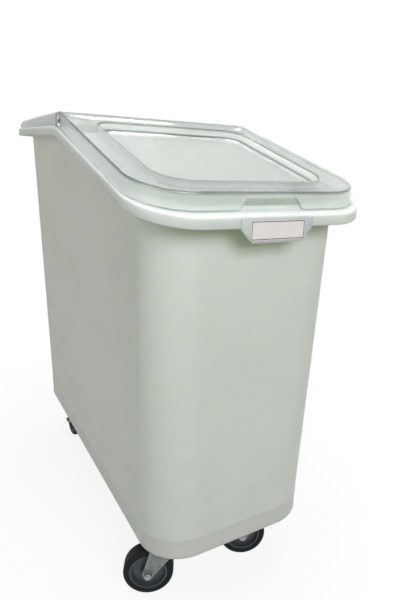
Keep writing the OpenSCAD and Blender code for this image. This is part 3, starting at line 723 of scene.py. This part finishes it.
def dress(slot, finish):
    """Gives each piece of a slot its finish."""
    for part in frame["record"]["subparts"]:
        if part["material_slot"] == slot:
            piece = frame["nodes"][part["node"]]
            piece.data.materials.clear()
            piece.data.materials.append(finish)


def zinc_plate():
    """Zinc-plated sheet: grey, with a soft crystalline mottle and a slightly uneven shine."""
    made, tree, shader, place = new_material("zinc_plated_sheet")
    spangle = node(tree, "ShaderNodeTexVoronoi", {"Vector": place}, Scale=per(4))
    colour = ramp(tree, spangle.outputs["Color"], [(0.2, "#6E7572"), (0.8, "#828985")])
    tree.links.new(colour, shader.inputs["Base Color"])
    wear = node(tree, "ShaderNodeTexNoise", {"Vector": place}, Scale=per(14), Detail=4.0)
    rough = node(tree, "ShaderNodeMapRange", {"Value": wear.outputs["Fac"]}, To_Min=0.34, To_Max=0.52)
    tree.links.new(rough.outputs["Result"], shader.inputs["Roughness"])
    shader.inputs["Metallic"].default_value = 0.9
    return made


def bright_steel():
    """Bright plated steel: smooth, with turning marks that break up its shine.

    Real marks are about 0.2 mm apart, which is too fine to show, so they are drawn 3 mm apart.
    """
    made, tree, shader, place = new_material("bright_plated_steel")
    marks = node(tree, "ShaderNodeTexNoise", {"Vector": place}, Scale=per(3), Detail=3.0)
    colour = ramp(tree, marks.outputs["Fac"], [(0.3, "#8B918F"), (0.7, "#A0A6A4")])
    tree.links.new(colour, shader.inputs["Base Color"])
    rough = node(tree, "ShaderNodeMapRange", {"Value": marks.outputs["Fac"]}, To_Min=0.2, To_Max=0.34)
    tree.links.new(rough.outputs["Result"], shader.inputs["Roughness"])
    shader.inputs["Metallic"].default_value = 1.0
    return made


dress("zinc_steel", zinc_plate())
dress("bright_steel", bright_steel())

# The wheels: dark nylon cores, injection moulded, that turn on the sleeves.
# A black rubber tyre is moulded on each core.


def wheel_nylon():
    """Moulded nylon of the wheel cores: dark blue-grey, satin, faintly streaked by the moulding flow."""
    made, tree, shader, place = new_material("moulded_nylon")
    flow = node(tree, "ShaderNodeTexNoise", {"Vector": place}, Scale=per(22), Detail=4.0, Distortion=0.6)
    colour = ramp(tree, flow.outputs["Fac"], [(0.3, "#2F373A"), (0.7, "#3B4448")])
    tree.links.new(colour, shader.inputs["Base Color"])
    rough = node(tree, "ShaderNodeMapRange", {"Value": flow.outputs["Fac"]}, To_Min=0.38, To_Max=0.5)
    tree.links.new(rough.outputs["Result"], shader.inputs["Roughness"])
    return made


def tyre_rubber():
    """Black thermoplastic rubber: matt, greyed by floor dust in patches."""
    made, tree, shader, place = new_material("tyre_rubber")
    dust = node(tree, "ShaderNodeTexNoise", {"Vector": place}, Scale=per(18), Detail=5.0, Roughness=0.65)
    colour = ramp(tree, dust.outputs["Fac"], [(0.35, "#0D0E0E"), (0.75, "#181919")])
    tree.links.new(colour, shader.inputs["Base Color"])
    rough = node(tree, "ShaderNodeMapRange", {"Value": dust.outputs["Fac"]}, To_Min=0.6, To_Max=0.8)
    tree.links.new(rough.outputs["Result"], shader.inputs["Roughness"])
    shader.inputs["Specular IOR Level"].default_value = 0.2
    return made


dress("wheel_core", wheel_nylon())
dress("tyre_rubber", tyre_rubber())

# The studio: white paper that the bin stands on, and soft boxes above, in front, to the left and behind.
# The paper shows white to the eye and keeps the bin's shadow, and throws back the warm grey of a floor.
WHITE = srgb("#FFFFFF")
SHADOW_SHARE = 0.12
SHADOW_REACH = (0.3, 0.9)
PAPER_HALF = 8.0


def seen_by_eye(tree):
    """One where a ray comes straight from the camera, off a shine or through a clear sheet, else nought."""
    path = node(tree, "ShaderNodeLightPath").outputs
    seen = path["Is Camera Ray"]
    for kind in ("Is Glossy Ray", "Is Transmission Ray"):
        seen = node(tree, "ShaderNodeMath", {0: seen, 1: path[kind]}, operation="MAXIMUM").outputs[0]
    return seen


def studio_paper():
    """Matt white paper, whose share of lit shade fades to plain white away from the bin."""
    made = bpy.data.materials.new("studio_paper")
    made.use_nodes = True
    tree = made.node_tree
    tree.nodes.clear()
    place = node(tree, "ShaderNodeTexCoord").outputs["Object"]
    away = node(tree, "ShaderNodeVectorMath", {0: place}, operation="LENGTH").outputs["Value"]
    share = node(tree, "ShaderNodeMapRange", {"Value": away}, To_Min=1 - SHADOW_SHARE, To_Max=1.0)
    share.inputs["From Min"].default_value = SHADOW_REACH[0]
    share.inputs["From Max"].default_value = SHADOW_REACH[1]
    lit = node(tree, "ShaderNodeBsdfDiffuse", Color=srgb("#FAFAFA"))
    glow = node(tree, "ShaderNodeEmission", Color=WHITE, Strength=1.0)
    looked_at = node(tree, "ShaderNodeMixShader",
                     {0: share.outputs[0], 1: lit.outputs[0], 2: glow.outputs[0]})
    bounce = node(tree, "ShaderNodeBsdfDiffuse", Color=srgb("#5E584A"))
    whole = node(tree, "ShaderNodeMixShader",
                 {0: seen_by_eye(tree), 1: bounce.outputs[0], 2: looked_at.outputs[0]})
    node(tree, "ShaderNodeOutputMaterial", {"Surface": whole.outputs[0]})
    return made


def sheet_grid(size, steps):
    """A flat square on the floor as a grid of points and quads."""
    u, v = np.meshgrid(np.linspace(-1, 1, steps), np.linspace(-1, 1, steps))
    i, j = np.meshgrid(np.arange(steps - 1), np.arange(steps - 1))
    a = (j * steps + i).ravel()
    points = np.column_stack([u.ravel() * size, v.ravel() * size, np.zeros(u.size)])
    return points, np.column_stack([a, a + 1, a + steps + 1, a + steps])


floor_points, floor_faces = sheet_grid(PAPER_HALF, 9)
floor_mesh = bpy.data.meshes.new("floor")
floor_mesh.from_pydata(floor_points.tolist(), [], floor_faces.tolist())
floor = bpy.data.objects.new("floor", floor_mesh)
bpy.context.scene.collection.objects.link(floor)
floor_mesh.materials.append(studio_paper())


def soft_box(name, place, target, width, height, power):
    """A rectangular lamp at a place, turned towards a target."""
    lamp = bpy.data.lights.new(name, "AREA")
    lamp.shape = "RECTANGLE"
    lamp.size, lamp.size_y = width, height
    lamp.energy = power
    made = bpy.data.objects.new(name, lamp)
    away = np.array(place) - np.array(target)
    away = away / np.linalg.norm(away)
    right = np.cross([0.0, 1.0, 0.0] if abs(away[2]) > 0.95 else [0.0, 0.0, 1.0], away)
    right = right / np.linalg.norm(right)
    turn = np.column_stack([right, np.cross(away, right), away])
    made.matrix_world = Matrix.Translation(place) @ Matrix(turn.tolist()).to_4x4()
    bpy.context.scene.collection.objects.link(made)
    return made


soft_box("overhead", (0.1, 0.0, 2.6), (0, 0, 0.5), 1.5, 1.5, 39.0)
soft_box("front_key", (-0.1, -2.7, 1.7), (0, 0, 0.4), 1.6, 1.2, 47.0)
soft_box("left_fill", (-1.3, -0.7, 1.0), (0, -0.2, 0.5), 0.8, 0.8, 5.5)
rear_fill = soft_box("rear_fill", (1.8, 1.7, 0.22), (0, 0, 0.4), 1.8, 0.36, 34.0)
# The low box behind is not mirrored, because its image would hide parts of the open lid.
rear_fill.visible_glossy = False

FILL_LEVEL = 0.15
world = bpy.data.worlds.new("studio")
world.use_nodes = True
bpy.context.scene.world = world
air = world.node_tree
level = node(air, "ShaderNodeMapRange", {"Value": seen_by_eye(air)}, To_Min=FILL_LEVEL, To_Max=1.0)
air.nodes["Background"].inputs["Color"].default_value = WHITE
air.links.new(level.outputs["Result"], air.nodes["Background"].inputs["Strength"])

# The camera: a phone's short lens at the height of the rim, in front of the bin and to its left.
# Its picture is the middle part of a wider one, so the lens is shifted a little.
PHOTO_W = 407
PHOTO_H = 600
EYE = (-0.36487, -0.88656, 0.65951)
HEADING, PITCH, ROLL = np.radians([33.48, -12.56, 2.80])
FOCAL_PX = 524.78
MIDDLE_PX = (257.79, 271.39)
ahead = np.array([math.sin(HEADING), math.cos(HEADING), 0.0])
look = ahead * math.cos(PITCH) + np.array([0.0, 0.0, math.sin(PITCH)])
level_right = np.array([math.cos(HEADING), -math.sin(HEADING), 0.0])
level_up = np.cross(level_right, look)
right = math.cos(ROLL) * level_right + math.sin(ROLL) * level_up
up = -math.sin(ROLL) * level_right + math.cos(ROLL) * level_up
lens = bpy.data.cameras.new("camera")
lens.sensor_width = 36.0
lens.lens = FOCAL_PX * lens.sensor_width / PHOTO_H
lens.shift_x = (PHOTO_W / 2 - MIDDLE_PX[0]) / PHOTO_H
lens.shift_y = (MIDDLE_PX[1] - PHOTO_H / 2) / PHOTO_H
lens.clip_start = 0.01
camera = bpy.data.objects.new("camera", lens)
camera_turn = Matrix(np.column_stack([right, up, -look]).tolist())
camera.matrix_world = Matrix.Translation(EYE) @ camera_turn.to_4x4()
bpy.context.scene.collection.objects.link(camera)
bpy.context.scene.camera = camera
bpy.context.scene.view_settings.view_transform = "Standard"

bpy.context.view_layer.update()
